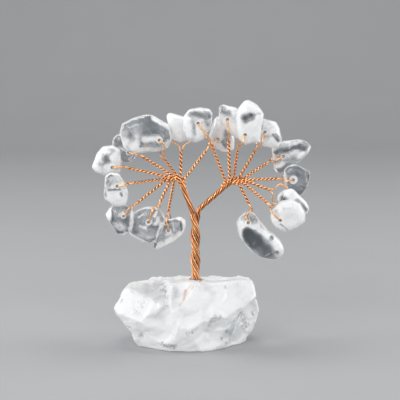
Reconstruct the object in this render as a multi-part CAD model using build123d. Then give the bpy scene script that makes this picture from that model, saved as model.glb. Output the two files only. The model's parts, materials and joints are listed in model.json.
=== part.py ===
from build123d import *

import math
import os
from dataclasses import dataclass

# Gemstone tree ornament: tumbled quartz chips on twisted copper wire, set in a raw quartz base.
#
# Frame: millimetres, +Z up, the crown spread along X, the viewer on the -Y side.
# The origin is on the stone's resting face, under the trunk's socket.
#
# The trunk is one bundle of copper wires. At the fork it divides into two branches, each a core wire with a
# ring of wires laid round it, which carry the two halves of the crown. Every twig is one wire doubled through
# the drilled hole of its chip and twisted on itself. A chip can turn a little about the straight run of wire
# in its hole.

# Copper wire
WIRE_DIAMETER = 0.45
WIRE_GAP = 0.05

# Wire bundles: a branch is one core wire with a ring of wires laid round it, and in the trunk the rings of both
# branches make one ring round both cores
RING_WIRES = 6
BRANCH_LAY = 9.0
TRUNK_LAY = 14.0
FORK_BLEND = 7.0
FORK_BEND = 2.5

# Twigs: a doubled wire twisted on itself, opening into a loop at its chip
TWIG_LAY = 3.4
TWIG_ROOT_GAP = 0.08
LOOP_CLEARANCE = 0.3
LOOP_OPENING = 0.75
LOOP_SHOULDER = 1.5
LOOP_SPREAD = 55.0

# Chips: the hole's play round its wire, and the levels of the pebble's sides as shares of half its depth
BORE_CLEARANCE = 0.25
RIM_LEVEL = 0.26
SHOULDER_LEVEL = 0.7
SHOULDER_SWELL = 0.09

# Places of the trunk and the branches
FOOT = Vector(0.2, 0, 19.0)
FORK = Vector(0.1, 0, 39.3)
LEFT_BRANCH = [Vector(-4.9, 0.2, 50.7), Vector(-8.2, 0.3, 50.1)]
RIGHT_BRANCH = [Vector(10.6, -0.2, 49.1), Vector(14.6, -0.3, 49.8)]

# Socket in the base stone
SOCKET_DEPTH = 9.0
SOCKET_FLOOR_GAP = 0.3
GLUE_WALL = 0.45
GLUE_FIT = 0.02
GLUE_BEAD_WIDTH = 0.9
GLUE_BEAD_HEIGHT = 0.7
GLUE_BEAD_WAIST = (0.55, 0.3)
SPOT_FACE_ROOM = 0.3

# Base stone: a block between two corners, split along the fracture planes below
STONE_LOW = Vector(-25.0, -15.0, 0.0)
STONE_HIGH = Vector(20.5, 14.0, 23.0)

# How the curves are worked out
TANGENT_STEP = 0.02
STEPS_PER_TURN = 6
DRILL_OVERRUN = 2.0


@dataclass
class Fracture:
    """A plane along which the stone has split: a point on it and its outward direction."""

    point: tuple
    outward: tuple


@dataclass
class Step:
    """A split that stopped inside the stone: what lay outside both its floor and its wall is gone.

    point is on the line where the two meet.
    """

    point: tuple
    floor: tuple
    wall: tuple


@dataclass
class Scallop:
    """A shell-shaped hollow left by a flake: the ball that would fill it."""

    centre: tuple
    radius: float


@dataclass
class Flute:
    """A long hollow left by a flake: the bar, round at both ends, that would fill it."""

    start: tuple
    end: tuple
    radius: float


@dataclass
class Chip:
    """A drilled chip. Outline, bore and crotch are (across, up) from the chip's centre.

    depth is the chip's thickness along Y, bore a point on its hole's axis and run that axis's direction,
    crotch the point where its twig's two strands part, and station how far along the branch, counted back
    from the tip, the twig springs. cap is the flat faces' share of the outline, lean moves them sideways,
    a bevel is a flat at an angle round Y, tilted to the front, at a distance from the centre, root keeps
    the twig's first turn that much further from the branch, and slack its loop further from the chip.
    """

    name: str
    centre: tuple
    depth: float
    outline: list
    bore: tuple
    crotch: tuple
    station: float
    run: tuple = (0, 1, 0)
    cap: float = 0.6
    lean: tuple = (0.0, 0.0)
    bevels: tuple = ()
    root: float = 0.0
    slack: float = 0.0


FRACTURES = [
    Fracture((-24.3, 0, 10.4), (-0.84, -0.10, -0.52)),
    Fracture((-24.5, 0, 10.9), (-0.84, 0.05, 0.53)),
    Fracture((-19.2, 0, 17.6), (-0.16, -0.03, 0.98)),
    Fracture((8.0, 4.0, 19.3), (-0.01, 0.04, 1.0)),
    Fracture((16.8, 0, 19.4), (0.96, 0.07, 0.26)),
    Fracture((19.5, 0, 9.6), (0.95, 0.10, -0.28)),
    Fracture((18.2, 0, 4.4), (0.82, 0.08, -0.57)),
    Fracture((7.0, -9.0, 14.8), (0.14, -0.76, 0.63)),
    Fracture((-14.0, -10.6, 12.2), (-0.34, -0.78, 0.53)),
    Fracture((-3.0, -13.8, 4.0), (-0.04, -0.97, -0.22)),
    Fracture((8.6, -10.4, 4.0), (0.60, -0.76, -0.24)),
    Fracture((14.2, -5.4, 4.0), (0.82, -0.46, -0.34)),
    Fracture((-18.6, -7.6, 4.6), (-0.52, -0.74, -0.42)),
    Fracture((-4.0, 10.4, 16.4), (-0.06, 0.72, 0.69)),
    Fracture((12.5, 9.0, 14.0), (0.46, 0.76, 0.45)),
    Fracture((-16.0, 9.0, 12.0), (-0.55, 0.74, 0.38)),
    Fracture((2.0, 12.8, 5.0), (0.05, 0.97, -0.24)),
    Fracture((-19.0, 7.5, 4.0), (-0.60, 0.68, -0.42)),
    Fracture((15.5, 8.0, 4.0), (0.66, 0.70, -0.28)),
]

STEPS = [
    Step((-5.7, 0, 18.6), (-0.05, 0.03, 0.99), (-0.42, 0, 0.91)),
    Step((-8.1, -8.0, 14.7), (0.16, -0.27, 0.95), (-0.91, -0.20, 0.35)),
]

SCALLOPS = [
    Scallop((-12.5, -20.3, 10.5), 9.0),
    Scallop((-3.6, -15.6, 23.4), 10.0),
    Scallop((8.0, -24.0, 4.0), 13.0),
    Scallop((-6.0, 27.0, 13.0), 16.0),
    Scallop((-21.9, 16.9, 16.1), 12.0),
]

FLUTES = [
    Flute((-5.2, -21.9, 11.0), (6.5, -16.0, 19.3), 8.0),
    Flute((-26.1, -16.0, 0.3), (-26.1, 16.0, 0.3), 8.05),
    Flute((5.4, -18.0, 49.96), (5.4, 18.0, 47.84), 30.0),
    Flute((2.0, 22.5, 4.0), (16.0, 18.0, 15.0), 8.0),
    Flute((-14.7, -17.5, 3.2), (-8.3, -20.0, 8.1), 7.0),
    Flute((17.2, -10.7, 0.4), (22.1, -7.4, 8.4), 8.0),
]

LEFT_CHIPS = [
    Chip(
        "left_1",
        (-26.2, -2.5, 56.0),
        4.8,
        [(-4.5, -2.1), (-3.0, 1.8), (-1.2, 4.0), (1.8, 4.4), (3.9, 3.0), (4.4, -0.9), (4.0, -3.6),
         (0.2, -4.8), (-3.4, -3.4)],
        bore=(1.7, -1.9),
        crotch=(5.6, -2.2),
        station=1.5,
        lean=(-0.3, 0.2),
        root=0.5,
    ),
    Chip(
        "left_2",
        (-21.4, 4.8, 58.4),
        4.4,
        [(-3.6, 1.2), (-3.2, 3.2), (-1.8, 4.5), (0.3, 4.5), (2.4, 2.1), (3.6, -0.6), (3.2, -2.7),
         (1.5, -4.1), (-0.3, -4.1), (-1.8, -2.4)],
        bore=(1.5, -0.8),
        crotch=(5.0, -2.0),
        station=2.3,
        lean=(0.2, -0.3),
    ),
    Chip(
        "left_3",
        (-14.5, -2.5, 63.8),
        6.0,
        [(-7.8, 0.3), (-7.2, 3.2), (-4.2, 4.5), (-0.2, 5.7), (2.0, 5.5), (6.6, 2.7), (7.8, -1.2),
         (6.5, -4.1), (3.8, -5.1), (-4.8, -5.6), (-6.6, -3.9)],
        bore=(1.7, -1.5),
        run=(-0.62, 0.78, 0),
        crotch=(5.0, -6.9),
        slack=0.6,
        station=3.5,
        cap=0.66,
        root=0.15,
        bevels=((62.0, 38.0, 4.4),),
    ),
    Chip(
        "left_4",
        (-4.5, 3.2, 65.1),
        5.2,
        [(-4.0, 3.6), (-3.2, 4.4), (0.0, 3.5), (3.0, 2.8), (3.6, -0.8), (2.4, -3.8), (0.0, -4.4),
         (-2.4, -3.3), (-3.6, 0.2)],
        bore=(0.0, -2.3),
        run=(1, 0, 0),
        crotch=(0.4, -6.0),
        station=4.3,
        lean=(0.2, 0.2),
    ),
    Chip(
        "left_5",
        (-23.2, -7.6, 47.9),
        4.6,
        [(-3.3, 4.0), (-1.5, 5.0), (1.0, 4.8), (2.7, 1.6), (3.8, -0.9), (3.4, -2.6), (2.6, -4.4),
         (0.9, -5.0), (-0.8, -4.8), (-3.4, -3.0), (-3.7, -1.4), (-3.4, 1.4)],
        bore=(0.4, 1.4),
        crotch=(4.1, 1.9),
        station=0.4,
        lean=(0.1, -0.4),
    ),
    Chip(
        "left_6",
        (-22.1, -3.3, 38.4),
        4.6,
        [(-4.5, 1.4), (-2.6, 4.0), (1.5, 4.8), (3.2, 3.4), (3.9, 2.0), (3.8, -1.0), (3.2, -3.2),
         (0.8, -4.9), (-1.0, -4.6), (-2.3, -2.7), (-3.6, -0.4)],
        bore=(0.9, 1.3),
        crotch=(4.3, 4.4),
        station=0.1,
        lean=(0.2, 0.2),
    ),
    Chip(
        "left_7",
        (-14.2, 1.6, 35.8),
        5.2,
        [(-4.4, 3.4), (-2.7, 4.8), (-0.4, 5.5), (2.1, 5.3), (4.2, 4.0), (5.1, 2.6), (4.8, 0.2),
         (4.0, -2.2), (2.4, -4.4), (0.6, -5.6), (-1.6, -5.0), (-3.8, -4.0), (-5.6, -2.6), (-5.0, 0.6)],
        bore=(0.2, 1.2),
        crotch=(3.4, 6.3),
        station=1.4,
        cap=0.64,
    ),
    Chip(
        "left_8",
        (-7.7, 7.2, 32.6),
        4.6,
        [(-5.2, -4.2), (-4.6, -1.6), (-3.0, 1.2), (-1.5, 3.8), (0.6, 4.2), (2.2, 4.7), (3.6, 4.6),
         (4.7, 3.7), (4.8, 2.1), (4.0, -0.3), (1.8, -2.3), (-0.6, -3.8), (-4.0, -5.4), (-4.9, -5.0)],
        bore=(-0.4, 0.8),
        crotch=(-0.5, 5.8),
        station=2.3,
        bevels=((-48.0, 44.0, 2.7),),
    ),
    Chip(
        "left_9",
        (8.1, 6.2, 62.8),
        4.8,
        [(-3.3, 1.5), (-2.2, 4.5), (-1.4, 5.3), (1.2, 5.1), (3.3, 2.4), (4.0, -1.8), (3.6, -4.8),
         (1.8, -5.3), (-0.2, -5.2), (-2.7, -3.6), (-4.0, -1.2)],
        bore=(-1.2, -1.3),
        crotch=(-4.3, -4.4),
        station=5.0,
        lean=(-0.2, 0.3),
    ),
]

RIGHT_CHIPS = [
    Chip(
        "right_1",
        (0.9, -4.2, 66.7),
        5.2,
        [(-4.2, 2.6), (-2.7, 4.5), (0.6, 5.2), (3.3, 4.7), (4.2, 3.6), (3.8, -0.8), (1.6, -4.3),
         (-0.3, -5.2), (-2.7, -4.8), (-4.4, -1.6)],
        bore=(0.0, 0.8),
        crotch=(3.6, -4.9),
        station=5.4,
        cap=0.64,
    ),
    Chip(
        "right_2",
        (11.0, -0.6, 67.5),
        4.8,
        [(-3.9, 1.8), (-3.8, 4.0), (-2.7, 5.1), (1.2, 4.0), (3.3, 1.8), (3.9, -2.7), (2.7, -5.4),
         (1.2, -5.2), (-0.9, -3.3), (-3.0, -0.4)],
        bore=(-1.4, 0.7),
        crotch=(-1.0, -4.9),
        station=4.3,
        lean=(-0.3, 0.3),
    ),
    Chip(
        "right_3",
        (16.1, -7.2, 67.7),
        5.8,
        [(-4.0, 1.4), (-3.4, 4.2), (-1.6, 6.4), (-0.4, 6.7), (2.2, 5.2), (4.1, 2.6), (3.5, -1.0),
         (3.0, -5.8), (0.8, -5.9), (-1.4, -6.5), (-2.9, -5.2), (-4.0, -2.2)],
        bore=(-1.4, -3.2),
        crotch=(-3.4, -7.2),
        station=3.2,
        cap=0.62,
        bevels=((72.0, 40.0, 5.0),),
    ),
    Chip(
        "right_4",
        (22.2, -2.0, 64.0),
        4.8,
        [(-3.4, 2.7), (-2.0, 4.5), (0.2, 3.9), (1.8, 3.2), (2.8, 1.5), (3.6, -1.8), (2.6, -4.0),
         (0.2, -4.2), (-2.6, -3.6), (-3.8, -0.6)],
        bore=(-1.5, 0.6),
        crotch=(-3.9, -4.6),
        station=1.9,
        lean=(0.2, 0.2),
    ),
    Chip(
        "right_5",
        (29.0, 6.4, 56.3),
        5.2,
        [(-5.8, 2.1), (-4.2, 3.9), (2.1, 4.8), (4.4, 4.3), (6.1, 2.7), (5.4, 1.0), (2.4, -1.9),
         (-0.6, -3.6), (-2.6, -5.4), (-4.4, -5.3), (-5.3, -4.0), (-5.4, -0.8)],
        bore=(-2.4, 0.0),
        crotch=(-6.8, -2.1),
        station=0.9,
        lean=(0.3, 0.2),
        bevels=((70.0, 52.0, 3.4),),
    ),
    Chip(
        "right_6",
        (30.6, 1.6, 49.7),
        4.2,
        [(-3.9, 2.7), (-2.7, 4.0), (-0.9, 4.6), (0.5, 4.3), (2.0, 3.2), (4.0, 2.5), (3.6, 0.0),
         (2.8, -2.8), (1.0, -4.8), (-2.7, -3.3), (-3.7, -0.9)],
        bore=(-1.2, 0.1),
        crotch=(-5.1, 0.1),
        station=0.1,
        cap=0.7,
    ),
    Chip(
        "right_7",
        (29.2, -3.6, 43.9),
        4.4,
        [(-4.8, 0.3), (-4.4, 2.0), (-2.7, 3.3), (-0.6, 3.8), (0.6, 3.2), (2.1, 1.4), (3.9, -0.3),
         (4.8, -2.2), (4.2, -3.9), (1.5, -3.6), (-2.1, -2.1)],
        bore=(-2.8, 0.5),
        run=(-0.37, 0, -0.93),
        crotch=(-6.2, 3.0),
        station=0.2,
        root=0.3,
    ),
    Chip(
        "right_8",
        (27.4, -9.8, 40.6),
        5.4,
        [(-5.2, -0.3), (-4.8, 1.4), (-2.2, 4.0), (0.9, 4.8), (3.6, 3.4), (5.0, 0.6), (4.9, -1.8),
         (2.4, -3.8), (-0.6, -4.8), (-3.2, -3.6), (-4.8, -1.9)],
        bore=(-2.4, -1.0),
        crotch=(-5.5, 3.1),
        station=1.0,
        cap=0.66,
    ),
    Chip(
        "right_9",
        (19.2, -3.0, 32.8),
        6.0,
        [(-6.9, 4.6), (-6.0, 6.2), (-4.2, 7.6), (-2.7, 8.0), (-1.2, 7.2), (0.1, 5.0), (2.7, 2.1),
         (4.8, 0.9), (6.3, -1.0), (7.4, -3.3), (7.2, -5.1), (5.7, -6.4), (3.3, -6.8), (0.9, -6.2),
         (-2.1, -4.4), (-4.4, -1.6), (-6.0, 0.6)],
        bore=(-3.4, 4.9),
        crotch=(-2.6, 9.2),
        station=1.9,
        cap=0.68,
    ),
]


def unit(*parts):
    """The direction of three numbers."""
    return Vector(*parts).normalized()


def arc(start, heading, end):
    """The arc, or straight run, that leaves start along heading and ends at end."""
    chord = end - start
    if chord.cross(heading).length < 1e-6 * chord.length:
        return Edge.make_line(start, end)
    return Edge.make_tangent_arc(start, heading, end)


def biarc(start, heading, end, arrival):
    """Two tangent arcs from start, leaving along heading, to end, arriving along arrival."""
    chord = end - start
    both = heading + arrival
    along = chord.dot(both)
    bend = 2 * (1 - heading.dot(arrival))
    if bend < 1e-9:
        reach = chord.dot(chord) / (2 * along)
    else:
        reach = (math.sqrt(along**2 + bend * chord.dot(chord)) - along) / bend
    first = start + heading * reach
    second = end - arrival * reach
    middle = (first + second) * 0.5
    return [arc(start, heading, middle), arc(middle, (second - first).normalized(), end)]


def smooth_path(stops):
    """A path of tangent arcs through stops, each a point and the heading there."""
    edges = []
    for (start, heading), (end, arrival) in zip(stops, stops[1:]):
        edges += biarc(start, heading, end, arrival)
    return Wire(edges)


def drawn_wire(stops):
    """One solid copper wire along stops, each a point and the heading there."""
    start, heading = stops[0]
    section = Plane(origin=start, z_dir=heading) * Circle(WIRE_DIAMETER / 2)
    return sweep(section, path=smooth_path(stops)).solid()


def across(heading):
    """Two directions square to heading and to each other, the first as near to +Y as it can be."""
    first = (Vector(0, 1, 0) - heading * heading.Y).normalized()
    return first, heading.cross(first)


def beside(path, along, radius, turn):
    """The point at that angle and radius from path, square to it."""
    point = path.position_at(along, position_mode=PositionMode.LENGTH)
    first, second = across(path.tangent_at(along, position_mode=PositionMode.LENGTH))
    return point + first * (radius * math.cos(turn)) + second * (radius * math.sin(turn))


def stops_along(place, begin, end, lay):
    """Stops of a strand from begin to end, a few in each lay, where place gives its point at a length."""
    steps = max(2, math.ceil((end - begin) / lay * STEPS_PER_TURN))
    stops = []
    for step in range(steps + 1):
        along = begin + (end - begin) * step / steps
        low = max(begin, along - TANGENT_STEP)
        high = min(end, along + TANGENT_STEP)
        stops.append((place(along), (place(high) - place(low)).normalized()))
    return stops


def laid(path, radius, lay, phase, begin, end):
    """Stops of a strand that winds left-handed round path at radius, from begin to end along it.

    lay is the length of one turn and phase the strand's angle, in radians, at end.
    """
    return stops_along(
        lambda along: beside(path, along, radius, phase - 2 * math.pi * (along - end) / lay), begin, end, lay
    )


def ring_radius(count, lay):
    """The least radius at which count wires, laid at that lay, clear each other in a ring."""
    upright = (WIRE_DIAMETER + WIRE_GAP) / 2 / math.sin(math.pi / count)
    slant = math.atan(2 * math.pi * upright / lay)
    return upright / math.cos(slant)


TRUNK_RING = ring_radius(2 * RING_WIRES, TRUNK_LAY)
STRAND_PITCH = 2 * TRUNK_RING * math.sin(math.pi / 2 / RING_WIRES)
BRANCH_RING = STRAND_PITCH / 2 / math.sin(math.pi / RING_WIRES)
BUNDLE_RADIUS = BRANCH_RING + WIRE_DIAMETER / 2
TRUNK_RADIUS = TRUNK_RING + WIRE_DIAMETER / 2
PAIR_RADIUS = ring_radius(2, TWIG_LAY)
TWIG_RADIUS = PAIR_RADIUS + WIRE_DIAMETER / 2
LOOP_STANDOFF = WIRE_DIAMETER / 2 + LOOP_CLEARANCE
BORE_RADIUS = WIRE_DIAMETER / 2 + BORE_CLEARANCE
SOCKET_RADIUS = TRUNK_RADIUS + GLUE_WALL
TRUNK_AXIS = (FORK - FOOT).normalized()


def half_ring(share):
    """One branch's ring in the trunk's cross-section: its centre's offset, its radius and the wires' spacing.

    share goes from 0, half of the trunk's ring, to 1, the branch's own ring. The two wires next to the other
    branch stay half a pitch from the plane between them.
    """
    spacing = math.pi / RING_WIRES * (1 + share)
    radius = STRAND_PITCH / 2 / math.sin(spacing / 2)
    offset = STRAND_PITCH / 2 - radius * math.cos(spacing * (RING_WIRES - 1) / 2)
    return offset, radius, spacing


def branch_path(side, branch):
    """The middle of a branch, from the fork on that side (-1 or 1) to its tip."""
    outward = Vector(side, 0, 0)
    outward = (outward - TRUNK_AXIS * outward.dot(TRUNK_AXIS)).normalized()
    offset = half_ring(1)[0]
    start = FORK + outward * offset
    leaving = (TRUNK_AXIS - TRUNK_AXIS.cross(outward) * (2 * math.pi * offset / TRUNK_LAY)).normalized()
    hub, tip = branch
    lean = math.acos((hub - start).normalized().dot(TRUNK_AXIS))
    knee = start + (TRUNK_AXIS * math.sin(lean) + outward * (1 - math.cos(lean))) * FORK_BEND
    straight = (hub - knee).normalized()
    onward = (tip - hub).normalized()
    passing = (straight + onward).normalized()
    return smooth_path([(start, leaving), (knee, straight), (hub, passing), (tip, onward)])


def bundle_wires(side, path):
    """The wires of one branch, from the trunk's foot to the branch's tip: the core, then its ring."""
    outward = Vector(side, 0, 0)
    outward = (outward - TRUNK_AXIS * outward.dot(TRUNK_AXIS)).normalized()
    square = TRUNK_AXIS.cross(outward)
    first, second = across(path.tangent_at(0))
    bottom = -((FORK - FOOT).length + SOCKET_DEPTH - SOCKET_FLOOR_GAP)

    def in_trunk(along, wire):
        share = max(0.0, 1 + along / FORK_BLEND)
        share = share * share * (3 - 2 * share)
        offset, radius, spacing = half_ring(share)
        if wire == 0:
            aside, over = STRAND_PITCH / 2 + (half_ring(1)[0] - STRAND_PITCH / 2) * share, 0.0
        else:
            angle = spacing * (wire - (RING_WIRES + 1) / 2)
            aside, over = offset + radius * math.cos(angle), radius * math.sin(angle)
        turn = -2 * math.pi * along / TRUNK_LAY
        out = outward * math.cos(turn) + square * math.sin(turn)
        return FORK + TRUNK_AXIS * along + out * aside + TRUNK_AXIS.cross(out) * over

    def in_branch(along, wire):
        if wire == 0:
            return beside(path, along, 0.0, 0.0)
        angle = half_ring(1)[2] * (wire - (RING_WIRES + 1) / 2)
        spoke = outward * math.cos(angle) + square * math.sin(angle)
        turn = math.atan2(spoke.dot(second), spoke.dot(first)) - 2 * math.pi * along / BRANCH_LAY
        return beside(path, along, BRANCH_RING, turn)

    wires = []
    for wire in range(RING_WIRES + 1):
        stops = stops_along(
            lambda along: in_trunk(along, wire) if along < 0 else in_branch(along, wire),
            bottom, path.length, BRANCH_LAY,
        )
        wires.append(drawn_wire(stops))
    return wires


def chip_blank(chip):
    """The chip before drilling: its outline at six depths, with flat faces between, and its bevels."""
    middle = Vector(*chip.centre)
    lean = Vector(chip.lean[0], 0, chip.lean[1])
    front = [(1.0, chip.cap), (SHOULDER_LEVEL, (1 + chip.cap) / 2 + SHOULDER_SWELL), (RIM_LEVEL, 1.0)]
    levels = [(-level, share) for level, share in front] + front[::-1]
    rings = []
    for depth, share in levels:
        shift = middle + Vector(0, depth * chip.depth / 2, 0) + lean * (depth * abs(depth))
        rings.append([shift + Vector(x * share, 0, z * share) for x, z in chip.outline])
    faces = [Face(Wire.make_polygon(rings[0])), Face(Wire.make_polygon(rings[-1]))]
    count = len(chip.outline)
    for near, far in zip(rings, rings[1:]):
        for corner in range(count):
            after = (corner + 1) % count
            quad = [near[corner], near[after], far[after], far[corner]]
            faces.append(Face(Wire.make_polygon(quad)))
    blank = Solid(Shell(faces))
    for angle, tilt, distance in chip.bevels:
        turn = math.radians(angle)
        slope = math.radians(tilt)
        outward = unit(math.cos(turn) * math.cos(slope), -math.sin(slope), math.sin(turn) * math.cos(slope))
        plane = Plane(origin=middle + outward * distance, z_dir=outward)
        blank = split(blank, bisect_by=plane, keep=Keep.BOTTOM).solid()
    return blank


def chip_hole(chip, blank):
    """The hole's two mouths on the chip's faces."""
    aside, up = chip.bore
    middle = Vector(*chip.centre) + Vector(aside, 0, up)
    run = unit(*chip.run)
    found = [point for point, _ in blank.find_intersection_points(Axis(middle, run))]
    found.sort(key=lambda point: (point - middle).dot(run))
    return found[0], found[-1]


def drilled(blank, mouths):
    """The chip with its hole."""
    first, last = mouths
    run = (last - first).normalized()
    start = Plane(origin=first - run * DRILL_OVERRUN, z_dir=run)
    length = (last - first).length + 2 * DRILL_OVERRUN
    drill = start * Cylinder(BORE_RADIUS, length, align=(Align.CENTER, Align.CENTER, Align.MIN))
    return (blank - drill).solid()


def loop_stops(crotch, axis, mouth, outward, standoff):
    """Stops of one leg of a loop, from the crotch to the mouth of the hole that it enters."""
    reach = mouth - crotch
    inward = (reach - outward * reach.dot(outward)).normalized()
    spread = math.radians(LOOP_SPREAD)
    leaving = (axis * math.cos(spread) + outward * math.sin(spread)).normalized()
    parting = crotch + outward * (PAIR_RADIUS + WIRE_DIAMETER / 2)
    above = mouth + outward * standoff
    turn = above - inward * standoff
    shoulder = above - inward * ((above - crotch).dot(inward) - LOOP_SHOULDER)
    return [(parting, leaving), (shoulder, inward), (turn, inward), (mouth, -outward)]


def twig_wire(chip, path, mouths):
    """The chip's twig: one wire from the branch, twisted, through the chip's hole and back."""
    crotch = Vector(chip.centre[0] + chip.crotch[0], chip.centre[1], chip.centre[2] + chip.crotch[1])
    spring = path.position_at(path.length - chip.station, position_mode=PositionMode.LENGTH)
    axis = (crotch - spring).normalized()
    root = spring + axis * (BUNDLE_RADIUS + TWIG_RADIUS + TWIG_ROOT_GAP + chip.root)
    twist = Wire(Edge.make_line(root, crotch))
    run = (mouths[1] - mouths[0]).normalized()
    first, second = across(axis)
    opening = (-run - axis * (-run).dot(axis)).normalized()
    phase = math.atan2(opening.dot(second), opening.dot(first))
    end = twist.length - LOOP_OPENING
    out = laid(twist, PAIR_RADIUS, TWIG_LAY, phase, 0, end)
    back = laid(twist, PAIR_RADIUS, TWIG_LAY, phase + math.pi, 0, end)
    standoff = LOOP_STANDOFF + chip.slack
    going = out + loop_stops(crotch, axis, mouths[0], -run, standoff)
    coming = back + loop_stops(crotch, axis, mouths[1], run, standoff)
    stops = going + [(point, -heading) for point, heading in reversed(coming)]
    return drawn_wire(stops)


def base_stone():
    """The raw stone: a block split along its fracture planes, flaked, and drilled for the trunk."""
    size = STONE_HIGH - STONE_LOW
    block = Pos(*STONE_LOW) * Box(size.X, size.Y, size.Z, align=(Align.MIN, Align.MIN, Align.MIN))
    for fracture in FRACTURES:
        plane = Plane(origin=fracture.point, z_dir=fracture.outward)
        block = split(block, bisect_by=plane, keep=Keep.BOTTOM)
    for step in STEPS:
        wedge = Pos(*step.point) * Box(2 * size.X, 2 * size.X, 2 * size.X)
        for outward in (step.floor, step.wall):
            wedge = split(wedge, bisect_by=Plane(origin=step.point, z_dir=outward), keep=Keep.TOP)
        block -= wedge
    for scallop in SCALLOPS:
        block -= Pos(*scallop.centre) * Sphere(scallop.radius)
    for flute in FLUTES:
        start = Vector(*flute.start)
        length = Vector(*flute.end) - start
        bar = Cylinder(flute.radius, length.length, align=(Align.CENTER, Align.CENTER, Align.MIN))
        block -= Plane(origin=start, z_dir=length) * bar
        for end in (flute.start, flute.end):
            block -= Pos(*end) * Sphere(flute.radius)
    seat = Plane(origin=FOOT, z_dir=TRUNK_AXIS)
    land = SOCKET_RADIUS + GLUE_BEAD_WIDTH + SPOT_FACE_ROOM
    block -= seat * Cylinder(land, size.Z, align=(Align.CENTER, Align.CENTER, Align.MIN))
    block -= seat * Cylinder(SOCKET_RADIUS, SOCKET_DEPTH, align=(Align.CENTER, Align.CENTER, Align.MAX))
    return block.solid()


def glue_collar():
    """Cured glue: a sleeve round the trunk in its socket, with a low bead on the stone."""
    seat = Plane(origin=FOOT, z_dir=TRUNK_AXIS)
    inner = TRUNK_RADIUS + GLUE_FIT
    outer = SOCKET_RADIUS - GLUE_FIT
    rim = SOCKET_RADIUS + GLUE_BEAD_WIDTH
    floor = GLUE_FIT
    profile = Polyline(
        (inner, -(SOCKET_DEPTH - SOCKET_FLOOR_GAP)),
        (outer, -(SOCKET_DEPTH - SOCKET_FLOOR_GAP)),
        (outer, floor),
        (rim, floor),
        (inner + GLUE_BEAD_WAIST[0], GLUE_BEAD_WAIST[1]),
        (inner, GLUE_BEAD_HEIGHT),
        close=True,
    )
    ring = revolve(Plane.XZ * make_face(profile), axis=Axis.Z)
    return (seat * ring).solid()


def main():
    os.makedirs("parts", exist_ok=True)
    nodes = {"base_stone": base_stone(), "glue_collar": glue_collar()}
    for side, branch, chips in ((-1, LEFT_BRANCH, LEFT_CHIPS), (1, RIGHT_BRANCH, RIGHT_CHIPS)):
        path = branch_path(side, branch)
        word = "left" if side < 0 else "right"
        for number, wire in enumerate(bundle_wires(side, path), 1):
            nodes[f"{word}_bundle_wire_{number}"] = wire
        for chip in chips:
            blank = chip_blank(chip)
            mouths = chip_hole(chip, blank)
            nodes[f"chip_{chip.name}"] = drilled(blank, mouths)
            nodes[f"twig_{chip.name}"] = twig_wire(chip, path, mouths)
    for name, solid in nodes.items():
        export_step(solid, f"parts/{name}.step")


main()
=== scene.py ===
import json
import math
import random
from bisect import bisect_right

import bmesh
import bpy
import numpy as np
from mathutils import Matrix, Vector, noise
from mathutils.bvhtree import BVHTree
from mathutils.kdtree import KDTree


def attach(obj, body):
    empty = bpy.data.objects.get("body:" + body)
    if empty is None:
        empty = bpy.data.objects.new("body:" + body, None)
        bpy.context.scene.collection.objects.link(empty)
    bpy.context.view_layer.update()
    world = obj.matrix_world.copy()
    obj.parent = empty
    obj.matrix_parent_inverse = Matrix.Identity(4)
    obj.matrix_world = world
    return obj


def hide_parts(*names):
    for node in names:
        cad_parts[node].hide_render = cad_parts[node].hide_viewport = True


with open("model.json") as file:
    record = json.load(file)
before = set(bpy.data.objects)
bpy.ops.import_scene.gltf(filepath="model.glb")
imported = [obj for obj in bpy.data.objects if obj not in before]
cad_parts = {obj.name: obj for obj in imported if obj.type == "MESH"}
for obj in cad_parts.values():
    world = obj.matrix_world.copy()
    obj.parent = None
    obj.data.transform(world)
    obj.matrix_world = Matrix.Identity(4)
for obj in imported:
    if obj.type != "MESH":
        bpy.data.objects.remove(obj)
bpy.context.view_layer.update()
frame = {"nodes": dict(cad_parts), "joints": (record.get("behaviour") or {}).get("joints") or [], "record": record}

# Gemstone tree ornament: quartz chips on twisted copper wire, set in a raw quartz base.
# Lengths are millimetres in the part's frame: +Z up, the crown along X, the viewer on the -Y side.
MM = 0.001

# The photograph's view
VIEW_TARGET = Vector((1.5, 0, 43.6))
VIEW_RISE = math.radians(9)
VIEW_DISTANCE = 500

# Copper wire: its thickness, the ring of strands round each bundle's core and every other strand's tarnish
WIRE = 0.45
RING_WIRES = 6
STRAND_PITCH = 0.545
STRAND_TARNISH = (0.0, 0.17)
STRAND_SLIP = 0.16
BUNDLE_RADIUS = 0.77

# The trunk's twist, how far its two halves stand apart and flatten, and the bends at the fork and the hubs
TRUNK_LAY = 14.0
TRUNK_SPREAD = 0.20
TRUNK_FLATTENED = 0.12
FORK_BLEND = 7.0
FORK_BEND = 2.5
HUB_BEND = 1.3

# Twigs: their twist, a little tighter than the part's, and how far their ends run back along the branch
PAIR_RADIUS = 0.275
TWIG_RADIUS = 0.5
TWIG_LAY = 2.5
TWIG_ROOT = 0.3
TWIG_RUN = (2.0, 3.4)
TWIG_SUNK = 0.45
TWIG_LEAVING = 0.9

# Loops: where their legs part, how high their shoulders are, how far they stand open sideways, which the
# part leaves out, how far the shoulders are drawn in to the twig, and how far they stand from the chip.
# Some loops differ.
LOOP_OPENING = 0.75
LOOP_SHOULDER = 1.5
LOOP_OPEN = 0.5
LOOPS_STEEP = {"left_3": 1.8, "left_4": 2.5, "right_2": 0.8, "right_9": 2.2}
LOOPS_OPENED = {
    "left_3": 0.0, "left_4": 0.0, "left_5": 0.0, "left_6": 0.7, "left_7": 0.9, "left_8": 0.7,
    "right_2": 0.0, "right_5": 0.0, "right_7": 0.3, "right_9": 1.1,
}
LOOPS_DRAWN = {"left_3": 0.7}
LOOP_STANDOFF = 0.525
LOOPS_SLACK = {"left_3": 0.8}

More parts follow.
